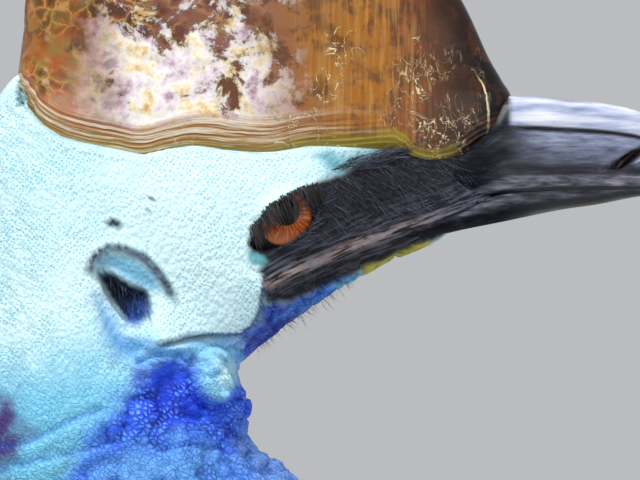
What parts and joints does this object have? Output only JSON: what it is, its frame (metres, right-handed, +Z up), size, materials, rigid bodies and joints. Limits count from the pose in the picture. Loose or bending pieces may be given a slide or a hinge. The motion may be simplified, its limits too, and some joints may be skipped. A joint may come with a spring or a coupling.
{
  "type": "life-size cassowary model",
  "caption": "Life-size still model of an adult southern cassowary standing on both feet, with casque, bill, wattles, plumage, wing quills, scaly legs and claws.",
  "frame": {"origin": "on the floor, under the middle of the bird's box", "axes": "+X is the way the bird faces, +Y is its left side, +Z is up"},
  "size_m": [1.2504, 0.5032, 1.6685],
  "materials": {
    "head_skin": "matt wrinkled bare skin, pale cyan to cobalt blue",
    "casque_horn": "flaky layered horn, brown, amber and cream",
    "bill_horn": "black horn, glossy on the ridge",
    "eye": "wet orange-brown eye with a black pupil",
    "neck_skin": "wrinkled bare skin, blue in front and orange-red low on the nape",
    "wattle": "red wrinkled fleshy wattle",
    "plumage": "black drooping hair-like feathers",
    "wing": "black bare quill shafts",
    "leg_scale": "grey-brown scales in bands and small plates",
    "claw": "dark worn horn"
  },
  "bodies": {
    "root": {"head": "head_skin", "casque": "casque_horn", "bill_upper": "bill_horn", "bill_lower": "bill_horn", "eye_right": "eye", "eye_left": "eye", "neck": "neck_skin", "wattle_right": "wattle", "wattle_left": "wattle", "torso": "plumage", "tail": "plumage", "wing_right": "wing", "wing_left": "wing", "thigh_right": "plumage", "thigh_left": "plumage", "shank_right": "leg_scale", "shank_left": "leg_scale", "foot_right": "leg_scale", "foot_left": "leg_scale", "claw_inner_right": "claw", "claw_middle_right": "claw", "claw_outer_right": "claw", "claw_inner_left": "claw", "claw_middle_left": "claw", "claw_outer_left": "claw"}
  },
  "joints": []
}
